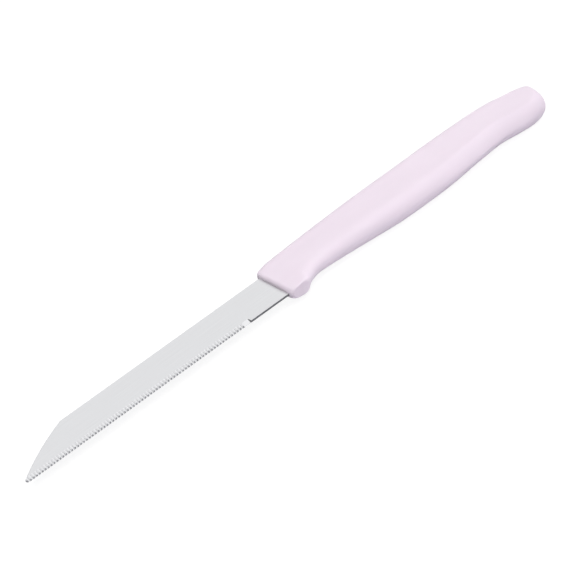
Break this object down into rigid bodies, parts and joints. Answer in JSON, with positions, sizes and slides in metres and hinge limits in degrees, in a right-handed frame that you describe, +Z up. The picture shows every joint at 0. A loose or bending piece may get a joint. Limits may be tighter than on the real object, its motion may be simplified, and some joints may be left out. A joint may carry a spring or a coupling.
{
  "type": "vegetable knife",
  "caption": "Small kitchen knife with a straight finely serrated blade, a dropped spine to the point and a moulded plastic handle with a finger guard, lying on its side",
  "frame": {"origin": "middle of the bottom of the overall box, on the surface the knife lies on", "axes": "+X from the tip to the butt, +Y from the cutting edge to the spine, +Z up, square to the blade"},
  "size_m": [0.204, 0.0164, 0.0082],
  "materials": {
    "blade": "satin, fine lengthwise grain",
    "handle": "satin moulded, pale lilac pink"
  },
  "bodies": {
    "root": {"blade": "blade", "handle": "handle"}
  },
  "joints": []
}
